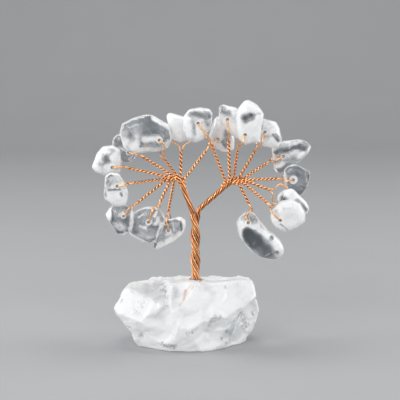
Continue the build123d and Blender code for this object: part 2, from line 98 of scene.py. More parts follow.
# Drilled holes: the wire lies off their middle, and painted shade reaches in from their mouths
BORE_RADIUS = 0.475
BORE_SIDES = 20
HOLE_SLACK = 0.2
MOUTH_SHADE = 0.9

# Places of the trunk and the branches, as in the part
FOOT = Vector((0.2, 0, 19.0))
FORK = Vector((0.1, 0, 39.3))
SOCKET_DEPTH = 8.7
BRANCHES = {
    "left": (Vector((-4.9, 0.2, 50.7)), Vector((-8.2, 0.3, 50.1))),
    "right": (Vector((10.6, -0.2, 49.1)), Vector((14.6, -0.3, 49.8))),
}
TRUNK_AXIS = (FORK - FOOT).normalized()

# Lay of the strands along each branch: the left one is nearly straight, the right one tight
BRANCH_LAY = {"left": 26.0, "right": 7.5}

# Each twig: its chip's centre, the crotch where its strands part, (across, up) from there, and its station,
# counted back from the branch's tip
TWIGS = {
    "left_1": ((-26.2, -2.5, 56.0), (5.6, -2.2), 1.5),
    "left_2": ((-21.4, 4.8, 58.4), (5.0, -2.0), 2.3),
    "left_3": ((-14.5, -2.5, 63.8), (5.0, -6.9), 3.5),
    "left_4": ((-4.5, 3.2, 65.1), (0.4, -6.0), 4.3),
    "left_5": ((-23.2, -7.6, 47.9), (4.1, 1.9), 0.4),
    "left_6": ((-22.1, -3.3, 38.4), (4.3, 4.4), 0.1),
    "left_7": ((-14.2, 1.6, 35.8), (3.4, 6.3), 1.4),
    "left_8": ((-7.7, 7.2, 32.6), (-0.5, 5.8), 2.3),
    "left_9": ((8.1, 6.2, 62.8), (-4.3, -4.4), 5.0),
    "right_1": ((0.9, -4.2, 66.7), (3.6, -4.9), 5.4),
    "right_2": ((11.0, -0.6, 67.5), (-1.0, -4.9), 4.3),
    "right_3": ((16.1, -7.2, 67.7), (-3.4, -7.2), 3.2),
    "right_4": ((22.2, -2.0, 64.0), (-3.9, -4.6), 1.9),
    "right_5": ((29.0, 6.4, 56.3), (-6.8, -2.1), 0.9),
    "right_6": ((30.6, 1.6, 49.7), (-5.1, 0.1), 0.1),
    "right_7": ((29.2, -3.6, 43.9), (-6.2, 3.0), 0.2),
    "right_8": ((27.4, -9.8, 40.6), (-5.5, 3.1), 1.0),
    "right_9": ((19.2, -3.0, 32.8), (-2.6, 9.2), 1.9),
}

# Each chip's milkiness all over, how frosted its rim is, which also sets a painted white sheen on its sides,
# and its marks: strokes from one (across, up) to another, from the chip's centre, with their half width and
# strength. A mark above zero is white, below zero clear; the clear stone is painted grey to dark as the shade
# seen through it.
CHIP_LOOKS = {
    "left_1": (0.72, 0.9, [
        ((-0.4, 0.9), (0.2, -0.2), 0.9, -1.0),
        ((1.5, 2.7), (-0.2, 1.4), 0.7, -0.45),
        ((-1.8, -0.7), (-1.0, -1.4), 0.7, -0.5),
        ((1.0, -1.5), (1.8, -2.2), 1.0, 0.4),
        ((2.4, 3.2), (1.0, 3.6), 0.5, -0.3),
    ]),
    "left_2": (-0.20, 0.8, [
        ((-1.5, 0.7), (0.9, -0.2), 0.45, 0.6),
        ((-1.6, 2.6), (-1.2, 1.8), 0.8, -0.2),
        ((2.4, -1.6), (1.6, -3.0), 0.5, 0.5),
    ]),
    "left_3": (-0.20, 0.9, [
        ((-6.2, -1.8), (-3.6, -3.8), 2.0, 0.75),
        ((-2.8, 0.0), (-3.2, -3.6), 1.1, 0.5),
        ((-5.6, 1.0), (-2.6, 1.7), 1.2, 0.22),
        ((-4.6, -0.5), (-4.2, -1.3), 1.1, -0.4),
        ((0.4, 3.2), (2.6, 1.6), 1.4, -0.35),
        ((2.1, 4.9), (6.6, 2.3), 0.6, 1.0),
        ((5.7, -3.1), (7.2, -2.3), 1.2, 0.75),
        ((-2.2, -4.6), (4.2, -4.6), 0.8, 0.75),
        ((-0.5, -1.2), (3.9, -0.9), 0.75, 1.0),
        ((-1.4, -2.6), (-1.9, -3.6), 0.5, -0.5),
    ]),
    "left_4": (0.98, 0.4, [((2.0, -3.0), (-1.0, -3.4), 0.8, -0.2)]),
    "left_5": (0.25, 0.9, [
        ((-1.0, -2.2), (1.7, -2.6), 2.2, 0.9),
        ((-1.0, 1.2), (2.3, 1.7), 0.6, 0.6),
        ((-2.2, 0.2), (1.1, 0.3), 0.28, -0.9),
        ((1.3, -1.2), (1.6, -1.6), 0.5, -1.3),
        ((-1.9, 3.9), (-2.4, 2.2), 0.9, -0.45),
        ((-3.2, 0.6), (-3.3, -1.6), 0.4, -0.5),
    ]),
    "left_6": (-0.15, 0.9, [
        ((-3.6, 2.4), (-3.6, 0.6), 1.0, 0.9),
        ((-2.4, 2.7), (-2.3, 0.1), 0.35, -0.7),
        ((-1.3, -1.6), (0.8, -2.0), 1.0, 0.6),
        ((1.2, 0.3), (1.9, -1.2), 0.9, -0.5),
        ((3.6, 1.8), (3.0, -3.0), 0.6, 0.9),
        ((-1.2, -3.6), (0.6, -3.6), 0.4, -0.6),
        ((-1.0, -4.5), (1.8, -4.1), 0.5, 0.8),
        ((-0.1, 1.6), (0.6, 2.4), 0.6, 0.5),
    ]),
    "left_7": (-0.15, 0.9, [
        ((-1.9, -0.1), (-0.3, -0.5), 0.55, 0.8),
        ((1.2, 1.7), (2.7, 4.1), 0.4, 0.8),
        ((2.4, 0.7), (3.1, 1.5), 0.9, 0.7),
        ((1.6, 2.4), (2.0, 1.7), 0.4, -0.6),
        ((0.0, -0.5), (3.0, -0.4), 0.3, -0.7),
        ((4.2, 0.8), (2.8, -3.1), 0.4, 0.9),
        ((-5.4, -2.6), (0.3, -5.5), 0.4, 0.9),
        ((-2.8, 2.7), (-1.4, 3.4), 0.25, 0.8),
        ((-3.9, 1.8), (-3.6, -2.0), 0.5, -0.4),
        ((-3.4, -3.0), (0.6, -3.4), 0.7, 0.3),
    ]),
    "left_8": (-0.15, 0.9, [
        ((-3.9, -4.2), (0.0, -2.7), 1.1, 1.0),
        ((0.0, -2.7), (3.6, -0.2), 1.0, 1.0),
        ((-0.4, 3.2), (-0.2, 1.4), 0.6, -0.5),
        ((2.4, 4.5), (4.2, 3.6), 0.45, 0.9),
        ((4.3, 3.4), (4.2, 1.0), 0.45, 0.9),
        ((3.3, 3.4), (3.5, 0.9), 0.28, -0.7),
        ((-0.9, -0.4), (0.4, -0.1), 0.6, 0.6),
        ((-4.7, -4.4), (-4.4, -3.6), 0.4, -1.4),
        ((1.0, 3.0), (1.2, 1.0), 0.4, 0.4),
    ]),
    "left_9": (0.68, 0.8, [
        ((1.6, 0.6), (1.3, -3.2), 0.9, -0.8),
        ((0.2, -2.1), (0.9, -3.9), 0.4, -0.6),
        ((-1.6, -3.6), (0.2, -4.5), 0.9, 0.7),
        ((-2.4, 0.4), (-1.6, 3.6), 0.9, 0.3),
    ]),
    "right_1": (0.52, 0.9, [
        ((-1.8, 3.4), (3.6, 3.1), 0.75, -1.0),
        ((2.2, 1.8), (2.8, 0.4), 0.8, -0.5),
        ((-1.8, 1.2), (-0.7, -2.4), 0.6, -0.5),
        ((0.3, -1.3), (0.9, -3.3), 0.9, 0.9),
        ((-3.0, 1.8), (-2.8, -2.4), 0.9, 0.5),
    ]),
    "right_2": (0.82, 0.6, [
        ((-2.9, 3.6), (-1.6, 2.8), 1.3, -1.0),
        ((-1.2, 3.9), (0.4, 3.2), 0.5, 0.3),
    ]),
    "right_3": (0.90, 0.6, [
        ((-1.6, 1.7), (0.2, 2.2), 1.1, -1.35),
        ((-1.5, 0.4), (-1.7, 1.1), 0.8, -0.5),
        ((0.4, 2.4), (2.8, 2.9), 0.5, -0.5),
        ((-2.4, -2.4), (2.4, -3.0), 1.2, 0.2),
    ]),
    "right_4": (0.78, 0.7, [
        ((1.0, -0.2), (2.5, -2.0), 0.4, -1.1),
        ((1.9, 0.0), (3.0, -1.4), 0.25, -0.9),
        ((-2.6, 4.6), (-2.6, 1.6), 0.4, -1.0),
        ((-1.6, 0.3), (-0.4, -0.6), 0.9, -0.45),
    ]),
    "right_5": (0.05, 0.8, [
        ((-4.8, 1.3), (2.4, 2.8), 0.5, -1.0),
        ((-4.8, 2.9), (2.7, 4.3), 0.8, 0.5),
        ((3.0, 2.6), (4.2, 1.8), 0.7, -0.7),
        ((2.7, 0.1), (5.4, 1.9), 0.7, 0.75),
        ((-2.1, -0.2), (1.5, 1.3), 0.7, 0.45),
        ((-4.8, -3.5), (-2.7, -2.6), 0.8, 0.65),
        ((-3.6, -4.1), (-0.9, -2.7), 0.5, -0.6),
        ((-5.4, 1.6), (-5.2, -0.4), 0.5, 0.6),
    ]),
    "right_6": (-0.35, 0.8, [
        ((-3.9, 1.8), (-3.3, -2.7), 0.6, 1.0),
        ((2.6, 2.4), (2.6, -0.6), 0.25, 0.4),
    ]),
    "right_7": (0.84, 0.7, [
        ((-3.1, 1.0), (-2.2, 0.4), 1.0, -1.2),
        ((1.2, 0.6), (3.9, -2.4), 0.6, -0.9),
    ]),
    "right_8": (0.88, 0.7, [
        ((-3.9, 1.6), (-3.4, 0.2), 0.8, -0.5),
        ((-2.4, -2.3), (-0.3, -3.8), 0.35, -0.7),
        ((-1.6, 2.6), (0.6, 2.4), 0.4, -0.25),
        ((-0.5, 0.4), (1.8, -0.6), 0.8, -0.2),
    ]),
    "right_9": (0.15, 0.9, [
        ((-3.5, 1.7), (-1.6, -0.8), 1.6, -1.5),
        ((-0.6, -1.0), (2.6, -3.8), 1.7, -0.9),
        ((-5.6, 4.5), (-5.4, 0.2), 0.8, 0.8),
        ((-1.3, 3.5), (2.6, 0.8), 0.7, 0.8),
        ((4.9, -0.6), (6.2, -3.4), 1.4, 0.8),
        ((3.4, 0.5), (3.8, 0.2), 0.4, -0.95),
        ((5.2, -4.0), (5.6, -4.3), 0.4, -0.95),
        ((-3.2, 6.2), (-2.6, 5.8), 0.7, -0.6),
        ((-4.9, 4.0), (-0.8, 3.9), 0.7, 0.7),
        ((2.0, -5.0), (3.0, -4.3), 0.2, 0.8),
    ]),
}

# How far the drill frosted the stone round a hole
COLLAR = 0.35
COLLARS = {"right_6": 0.8, "left_7": 0.45}

# Quartz: how it bends light, and the size of the cells that a stone is remeshed with
QUARTZ_IOR = 1.544
CHIP_CELL = 0.25
BASE_CELL = 0.3

# The ribs of the base's split face rise to the right
RIB_SLOPE = math.radians(28)

# The base's look, as strokes like the chips' marks, in (across, up) of the part's frame: where its split
# face is rough, where it is clear and grey, where painted shade greys its faces and hollow, and where the
# trunk's copper, seen through the stone, is painted on as an orange glow
STONE_ROUGH = [
    ((-13.0, 18.4), (-8.8, 15.6), 2.4, 0.8),
    ((4.5, 9.0), (12.0, 3.0), 3.0, 0.7),
    ((13.0, 10.0), (15.0, 4.0), 1.6, 0.5),
    ((-18.0, 3.0), (-15.0, 4.6), 1.4, 0.5),
    ((-20.0, 14.0), (-15.5, 11.0), 3.0, -0.3),
    ((2.0, 16.5), (11.0, 16.5), 2.4, -0.2),
]
STONE_CLEAR = [
    ((-13.6, 18.0), (-8.8, 16.4), 2.0, 0.6),
    ((-9.6, 16.9), (-8.4, 15.6), 0.8, 0.6),
    ((-8.8, 13.8), (-8.2, 13.4), 0.45, 0.8),
    ((-9.4, 2.1), (-6.0, 1.9), 1.0, 1.1),
    ((-2.2, 5.8), (0.2, 7.2), 0.7, 1.0),
    ((13.8, 9.4), (15.4, 5.6), 1.5, 0.85),
    ((14.6, 6.6), (15.2, 5.4), 0.9, 0.5),
    ((17.2, 9.2), (17.8, 8.6), 0.6, 1.0),
    ((8.9, 18.6), (9.1, 18.3), 0.5, 1.3),
    ((-22.4, 13.2), (-21.7, 14.2), 0.45, 0.9),
    ((4.4, 8.2), (6.2, 10.6), 0.9, 0.8),
    ((7.1, 9.2), (7.9, 11.2), 0.4, 0.8),
    ((8.0, 3.6), (9.0, 5.4), 0.9, 0.85),
    ((10.9, 4.6), (11.4, 8.8), 0.5, 0.8),
    ((12.2, 9.6), (14.2, 11.2), 0.7, 0.7),
    ((-17.4, 3.2), (-15.4, 4.8), 0.9, 0.75),
    ((-17.2, 11.4), (-15.4, 14.6), 1.3, 0.6),
    ((-20.8, 6.2), (-19.4, 6.8), 0.5, 0.8),
    ((9.0, 2.0), (10.6, 1.4), 0.5, 0.7),
]
# Painted shade: soft grey on some faces and in the hollow left of the trunk
STONE_SHADE = [
    ((-3.0, 11.2), (5.2, 14.6), 1.3, 0.4),
    ((5.5, 8.5), (12.5, 4.0), 3.2, 0.55),
    ((10.0, 3.0), (13.0, 9.5), 2.2, 0.4),
    ((-4.2, 2.6), (-0.8, 2.4), 1.9, 0.5),
    ((-12.4, 11.2), (-10.2, 9.4), 1.6, 0.5),
    ((-11.2, 5.6), (-7.6, 6.4), 1.6, 0.35),
    ((-6.2, 18.0), (-5.0, 14.8), 1.5, 0.5),
    ((12.6, 18.6), (15.2, 13.4), 1.8, 0.45),
    ((2.6, 18.6), (5.4, 17.0), 1.0, 0.55),
    ((-14.6, 18.2), (-8.6, 15.8), 2.8, 0.85),
    ((-9.4, 13.0), (-4.4, 12.6), 1.2, 0.4),
]
# Painted light: the orange of the trunk's copper, seen through the stone, painted on its face
STONE_GLOW = [
    ((-1.2, 19.0), (-2.5, 17.6), 0.28, 0.35),
    ((-2.7, 17.4), (-3.3, 15.4), 0.32, 0.6),
    ((-3.4, 15.2), (-4.7, 13.9), 0.2, 0.35),
    ((-0.4, 18.8), (-1.0, 17.8), 0.2, 0.35),
    ((0.6, 18.6), (1.4, 17.6), 0.2, 0.2),
]


# Camera, light and floor
def new_object(name, data):
    """An object in the scene."""
    thing = bpy.data.objects.new(name, data)
    bpy.context.scene.collection.objects.link(thing)
    return thing


def pointed(thing, target):
    """Turns a lamp or the camera towards a point."""
    thing.rotation_euler = (Vector(target) * MM - thing.location).to_track_quat("-Z", "Y").to_euler()


def camera():
    """The photograph's view: straight on, from a little above."""
    lens = bpy.data.cameras.new("camera")
    lens.lens = 150
    lens.sensor_width = 36
    lens.clip_start = 0.01
    view = new_object("camera", lens)
    away = Vector((0, -math.cos(VIEW_RISE), math.sin(VIEW_RISE)))
    view.location = (VIEW_TARGET + VIEW_DISTANCE * away) * MM
    pointed(view, VIEW_TARGET)
    bpy.context.scene.camera = view


def softbox(name, place, target, width, height, watts):
    """One soft studio lamp."""
    lamp = bpy.data.lights.new(name, "AREA")
    lamp.shape = "RECTANGLE"
    lamp.size = width * MM
    lamp.size_y = height * MM
    lamp.energy = watts
    box = new_object(name, lamp)
    box.location = Vector(place) * MM
    pointed(box, target)


def lights():
    """Soft lamps all round, and a world that is paler where it is seen directly or through the stones."""
    softbox("key_lamp", (-260, -480, 420), (0, 0, 40), 340, 340, 1.6)
    softbox("fill_lamp", (330, -480, 200), (0, 0, 40), 260, 260, 0.4)
    softbox("front_lamp", (60, -900, 260), (0, 0, 40), 900, 700, 2.3)
    softbox("left_lamp", (-560, 60, 160), (0, 0, 45), 420, 460, 2.4)
    softbox("right_lamp", (560, 90, 180), (0, 0, 45), 420, 460, 2.2)
    softbox("top_lamp", (0, 160, 640), (0, 0, 40), 420, 320, 1.7)
    world = bpy.data.worlds.new("studio")
    bpy.context.scene.world = world
    sky = Finish(world, "ShaderNodeOutputWorld")
    seen = 0.0
    for ray in ("Is Camera Ray", "Is Glossy Ray", "Is Transmission Ray"):
        seen = seen + sky.add("ShaderNodeLightPath", output=ray)
    sky.surface(sky.add("ShaderNodeBackground", None, {
        "Color": (0.95, 0.97, 1.0, 1),
        "Strength": 0.15 + seen.clipped() * 0.35,
    }))


# Shaders
class Tone:
    """One output of a shader node. Sums of tones and numbers add Math nodes."""

    def __init__(self, finish, socket):
        self.finish = finish
        self.socket = socket

    def maths(self, operation, *values, clamp=False):
        settings = {"operation": operation, "use_clamp": clamp}
        return self.finish.add("ShaderNodeMath", settings, dict(enumerate(values)))

    def __add__(self, other):
        return self.maths("ADD", self, other)

    def __radd__(self, other):
        return self.maths("ADD", other, self)

    def __sub__(self, other):
        return self.maths("SUBTRACT", self, other)

    def __rsub__(self, other):
        return self.maths("SUBTRACT", other, self)

    def __mul__(self, other):
        return self.maths("MULTIPLY", self, other)

    def __rmul__(self, other):
        return self.maths("MULTIPLY", other, self)

    def clipped(self):
        return self.maths("ADD", self, 0.0, clamp=True)

    def stretch(self, low, high):
        """0 below low, 1 above high and a soft step between."""
        settings = {"interpolation_type": "SMOOTHSTEP"}
        sockets = {"Value": self, "From Min": low, "From Max": high}
        return self.finish.add("ShaderNodeMapRange", settings, sockets)


class Finish:
    """A material, or the world, under construction."""

    def __init__(self, owner, output="ShaderNodeOutputMaterial"):
        self.owner = owner
        owner.use_nodes = True
        self.tree = owner.node_tree
        self.tree.nodes.clear()
        self.end = self.tree.nodes.new(output)

    def add(self, kind, settings=None, sockets=None, output=0):
        """A node with its settings, then its sockets' values or links. Gives one of its outputs."""
        node = self.tree.nodes.new(kind)
        for key, value in (settings or {}).items():
            setattr(node, key, value)
        for key, value in (sockets or {}).items():
            if isinstance(value, Tone):
                self.tree.links.new(value.socket, node.inputs[key])
            else:
                node.inputs[key].default_value = value
        return Tone(self, node.outputs[output])

    def place(self):
        """The piece's own coordinates in millimetres."""
        metres = self.add("ShaderNodeTexCoord", output="Object")
        return self.add("ShaderNodeVectorMath", {"operation": "SCALE"}, {0: metres, "Scale": 1 / MM})

    def stretched(self, vector, factors):
        return self.add("ShaderNodeVectorMath", {"operation": "MULTIPLY"}, {0: vector, 1: factors})

    def turned(self, vector, angles):
        settings = {"rotation_type": "EULER_XYZ"}
        return self.add("ShaderNodeVectorRotate", settings, {"Vector": vector, "Rotation": angles})

    def grain(self, vector, scale, detail=3.0, roughness=0.55, warp=0.0):
        """Noise from 0 to 1."""
        sockets = {"Vector": vector, "Scale": scale, "Detail": detail, "Roughness": roughness}
        return self.add("ShaderNodeTexNoise", None, {**sockets, "Distortion": warp}, "Fac")

    def painted(self, name, output="Fac"):
        """A value kept at the mesh's points."""
        return self.add("ShaderNodeAttribute", {"attribute_name": name}, None, output)

    def mix(self, share, first, second):
        """A blend of two colours."""
        settings = {"data_type": "RGBA"}
        return self.add("ShaderNodeMix", settings, {0: share, 6: first, 7: second}, 2)

    def bump(self, height, strength, distance):
        sockets = {"Height": height, "Strength": strength, "Distance": distance * MM}
        return self.add("ShaderNodeBump", None, sockets)

    def shader(self, sockets):
        return self.add("ShaderNodeBsdfPrincipled", None, sockets)

    def blend(self, share, first, second):
        """A blend of two shaders."""
        return self.add("ShaderNodeMixShader", None, {0: share, 1: first, 2: second})

    def surface(self, shader):
        self.tree.links.new(shader.socket, self.end.inputs["Surface"])
        return self.owner


def quartz():
    """Tumbled rock crystal: clear, painted grey to dark inside as shade seen through it, with white veils, and a
    worn, frosted rim with a painted white sheen.
    """
    finish = Finish(bpy.data.materials.new("rock_crystal"))
    here = finish.place()
    frost_and_sheen = finish.painted("frost_and_sheen")
    cloud = finish.painted("cloud")
    wisps = finish.grain(here, 0.32, 4.0, 0.55, 1.4)
    fine = finish.grain(here, 1.3, 4.0, 0.6, 0.5)
    veil = (cloud + (wisps - 0.5) * 0.65 + (fine - 0.5) * 0.3).stretch(-0.4, 0.92)
    # Frost on the worn rim and round the hole, and a painted white sheen on the chip's sides
    rim = (frost_and_sheen + (fine - 0.5) * 0.6 + (wisps - 0.5) * 0.4).stretch(0.1, 0.95)
    milk = (veil + rim * 0.85).clipped()
    scuffs = finish.grain(here, 1.0, 5.0, 0.6)
    relief = finish.bump(scuffs, 0.12, 0.1)
    # Painted shade seen through the clear stone: grey, and near black where the chip is clearest
    painted_window_shade = finish.mix(wisps.stretch(0.25, 0.75), (0.40, 0.43, 0.46, 1), (0.82, 0.85, 0.87, 1))
    painted_window_shade = finish.mix((0.0 - cloud).stretch(0.1, 0.9), painted_window_shade, (0.16, 0.18, 0.20, 1))
    clear = finish.shader({
        "Base Color": painted_window_shade,
        "Roughness": 0.03 + rim * 0.15 + scuffs.stretch(0.55, 0.85) * 0.1,
        "IOR": QUARTZ_IOR,
        "Transmission Weight": 1.0,
        "Normal": relief,
    })
    white = finish.mix(wisps.stretch(0.25, 0.6), (0.83, 0.85, 0.87, 1), (0.99, 0.99, 0.99, 1))
    milky = finish.shader({
        "Base Color": white,
        "Roughness": 0.05 + fine * 0.14,
        "IOR": QUARTZ_IOR,
        "Transmission Weight": 0.06,
        "Subsurface Weight": 0.35,
        "Subsurface Radius": (1.0, 1.0, 1.0),
        "Subsurface Scale": 0.0012,
        "Normal": relief,
    })
    return finish.surface(finish.blend(milk, clear, milky))


def drilled_wall():
    """The ground wall of a drilled hole: chalky inside, painted dark at the mouths as the shade in the hole."""
    finish = Finish(bpy.data.materials.new("drilled_wall"))
    rings = finish.grain(finish.place(), 6.0, 3.0)
    chalk = finish.mix(rings, (0.78, 0.79, 0.80, 1), (0.95, 0.95, 0.95, 1))
    # Painted shade: near black for a little way in from each mouth
    mouth_shade = finish.mix(finish.painted("mouth"), chalk, (0.03, 0.03, 0.03, 1))
    return finish.surface(finish.shader({
        "Base Color": mouth_shade,
        "Roughness": 0.6 + rings * 0.2,
        "Normal": finish.bump(rings, 0.5, 0.05),
    }))


def copper():
    """Bright craft wire: faint drawn lines along it, and tarnish and painted shade deep between the strands."""
    finish = Finish(bpy.data.materials.new("copper_wire"))
    here = finish.place()
    lines = finish.grain(finish.painted("drawn", "Vector"), 2.0, 2.0, 0.5)
    tarnish = finish.grain(here, 0.4, 3.0, 0.55).stretch(0.5, 0.8)
    bright = finish.mix(lines, (0.98, 0.45, 0.18, 1), (1.0, 0.62, 0.31, 1))
    worn = finish.mix(tarnish * 0.3, bright, (0.80, 0.25, 0.08, 1))
    # Tarnish and painted shade: darker and rougher where the wire turns towards its neighbours, and every other
    # strand a little darker all along
    tarnish_and_shade = finish.painted("tarnish_and_shade").stretch(0.10, 0.36)
    tint = finish.mix(tarnish_and_shade, worn, (0.42, 0.095, 0.025, 1))
    return finish.surface(finish.shader({
        "Base Color": tint,
        "Metallic": 1.0,
        "Roughness": 0.17 + lines * 0.06 + tarnish * 0.08 + tarnish_and_shade * 0.2,
        "Normal": finish.bump(lines, 0.1, 0.02),
    }))


def raw_quartz():
    """Milky raw quartz: split faces, fine scars, greyer, clearer patches, painted shade and a painted copper glow.
    """
    finish = Finish(bpy.data.materials.new("raw_quartz"))
    here = finish.place()
    clear = finish.painted("clear_patch")
    face_shade = finish.painted("shaded_face")
    glow = finish.painted("copper_glow")
    slanted = finish.stretched(finish.turned(here, (0, RIB_SLOPE, 0)), (0.14, 0.5, 1.0))
    streaks = finish.grain(slanted, 0.8, 4.0, 0.55, 0.6)
    clouds = finish.grain(here, 0.14, 3.0, 0.5, 0.4)
    scars = finish.grain(here, 0.9, 7.0, 0.66, 0.3)
    fine = finish.grain(here, 4.0, 4.0, 0.6)
    specks = finish.grain(here, 1.8, 5.0, 0.72, 0.4)
    patch = (clear * 0.7 + (scars - 0.5) * 1.2 + (specks - 0.5) * 2.4).stretch(0.25, 1.15)
    # Painted shade on some faces and in the hollow, mixed with the stone's own grey streaks and clouds
    soft = (face_shade * 0.8 + (streaks - 0.5) * 0.9 + (clouds - 0.5) * 0.6).stretch(0.0, 1.1)
    white = finish.mix(soft, (0.90, 0.905, 0.91, 1), (0.62, 0.635, 0.65, 1))
    grey = finish.mix(patch * 0.85, white, (0.33, 0.36, 0.38, 1))
    # Painted light: the trunk's copper seen through the stone, as an orange tint
    copper_show = glow * (0.5 + scars).clipped()
    tint = finish.mix(copper_show, grey, (0.62, 0.27, 0.14, 1))
    height = scars * 0.5 + streaks * 0.4 + fine * 0.1
    relief = finish.bump(height, 0.4, 0.8)
    return finish.surface(finish.shader({
        "Base Color": tint,
        "Roughness": 0.40 - patch * 0.2 + (fine - 0.5) * 0.25,
        "IOR": QUARTZ_IOR,
        "Subsurface Weight": 0.35,
        "Subsurface Radius": (1.0, 1.0, 1.0),
        "Subsurface Scale": 0.0012,
        "Normal": relief,
        "Coat Weight": scars.stretch(0.45, 0.7) * 0.5,
        "Coat Roughness": 0.15,
    }))


def cured_glue():
    """Clear glue with a few bubbles' haze."""
    finish = Finish(bpy.data.materials.new("cured_glue"))
    here = finish.place()
    haze = finish.grain(here, 1.6, 5.0, 0.65)
    relief = finish.bump(haze, 0.35, 0.2)
    clear = finish.shader({
        "Base Color": (0.98, 0.97, 0.94, 1),
        "Roughness": 0.05 + haze * 0.12,
        "IOR": 1.48,
        "Transmission Weight": 1.0,
        "Normal": relief,
    })
    cloudy = finish.shader({
        "Base Color": finish.mix(haze, (0.80, 0.80, 0.79, 1), (0.93, 0.93, 0.92, 1)),
        "Roughness": 0.18,
        "Normal": relief,
    })
    return finish.surface(finish.blend(haze.stretch(0.45, 0.8) * 0.7, clear, cloudy))


def studio_paper():
    """The pale paper under and behind the ornament."""
    finish = Finish(bpy.data.materials.new("studio_paper"))
    fibres = finish.grain(finish.place(), 0.02, 3.0)
    tint = finish.mix(fibres, (0.40, 0.41, 0.42, 1), (0.43, 0.44, 0.45, 1))
    return finish.surface(finish.shader({"Base Color": tint, "Roughness": 0.75}))


# Meshes
def mesh_object(name, points, faces):
    """A new object from points in millimetres."""
    mesh = bpy.data.meshes.new(name)
    mesh.from_pydata([Vector(point) * MM for point in points], [], faces)
    mesh.polygons.foreach_set("use_smooth", [True] * len(mesh.polygons))
    return new_object(name, mesh)


def keep_values(mesh, name, values):
    """Keeps one number at each point of the mesh, for its material."""
    layer = mesh.attributes.new(name, "FLOAT", "POINT")
    layer.data.foreach_set("value", np.asarray(values, dtype=np.float32))


def mounted(piece, body, slot, nodes, *materials):
    """Gives a piece its materials, and its place in the frame."""
    for material in materials:
        piece.data.materials.append(material)
    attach(piece, body)
    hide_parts(*nodes)


def spokes(first, second, count):
    """Directions all round, in the plane of two directions that are square to each other."""
    turns = [2 * math.pi * step / count for step in range(count)]
    return [first * math.cos(turn) + second * math.sin(turn) for turn in turns]


def slot_of(node):
    """The record's material slot of a node."""
    return next(part["material_slot"] for part in frame["record"]["subparts"] if part["node"] == node)


def floor(paper):
    """A pale sheet that lies flat, then curves up behind."""
    profile = [(-900.0, 0.0), (450.0, 0.0)]
    for step in range(1, 19):
        turn = math.radians(5 * step)
        profile.append((450 + 300 * math.sin(turn), 300 - 300 * math.cos(turn)))
    profile.append((750.0, 1300.0))
    points = []
    for across in (-1400.0, 1400.0):
        points += [(across, y, z - 0.01) for y, z in profile]
    count = len(profile)
    faces = [(i, i + 1, count + i + 1, count + i) for i in range(count - 1)]
    sheet = mesh_object("studio_floor", points, [face[::-1] for face in faces])
    sheet.data.materials.append(paper)


# Lines that the wires follow
def arc(start, corner, end, count):
    """Points of the arc from start to end whose tangents meet at corner, without start."""
    weight = (end - start).length / 2 / (corner - start).length
    points = []
    for step in range(1, count + 1):
        share = step / count
        shares = ((1 - share) ** 2, 2 * share * (1 - share) * weight, share**2)
        points.append((start * shares[0] + corner * shares[1] + end * shares[2]) / sum(shares))
    return points


def curve(stops):
    """Points of a smooth curve of arcs through stops, each a point and its heading."""
    points = [stops[0][0]]
    for (start, heading), (end, arrival) in zip(stops, stops[1:]):
        chord = end - start
        along = chord.dot(heading + arrival)
        turn = 2 * (1 - heading.dot(arrival))
        if turn < 1e-6:
            reach = chord.length_squared / (2 * along)
        else:
            reach = (math.sqrt(along**2 + turn * chord.length_squared) - along) / turn
        first = start + heading * reach
        second = end - arrival * reach
        middle = (first + second) / 2
        count = max(2, math.ceil(chord.length / 0.3))
        points += arc(start, first, middle, count) + arc(middle, second, end, count)
    return points


class Line:
    """A run of points that is walked by length."""

    def __init__(self, points):
        self.points = points
        self.marks = [0.0]
        for before, after in zip(points, points[1:]):
            self.marks.append(self.marks[-1] + (after - before).length)
        self.length = self.marks[-1]

    def at(self, along):
        """The point at that length."""
        along = min(max(along, 0.0), self.length)
        place = min(bisect_right(self.marks, along), len(self.points) - 1)
        low, high = self.marks[place - 1], self.marks[place]
        return self.points[place - 1].lerp(self.points[place], (along - low) / (high - low))

    def heading(self, along):
        low = max(0.0, along - 0.25)
        high = min(self.length, along + 0.25)
        return (self.at(high) - self.at(low)).normalized()


def across(heading):
    """Two directions square to heading, the first as near to +Y as it can be."""
    first = (Vector((0, 1, 0)) - heading * heading.y).normalized()
    return first, heading.cross(first)


def laid(line, along, radius, turn):
    """A point beside a line, at that angle round it."""
    first, second = across(line.heading(along))
    return line.at(along) + first * (radius * math.cos(turn)) + second * (radius * math.sin(turn))


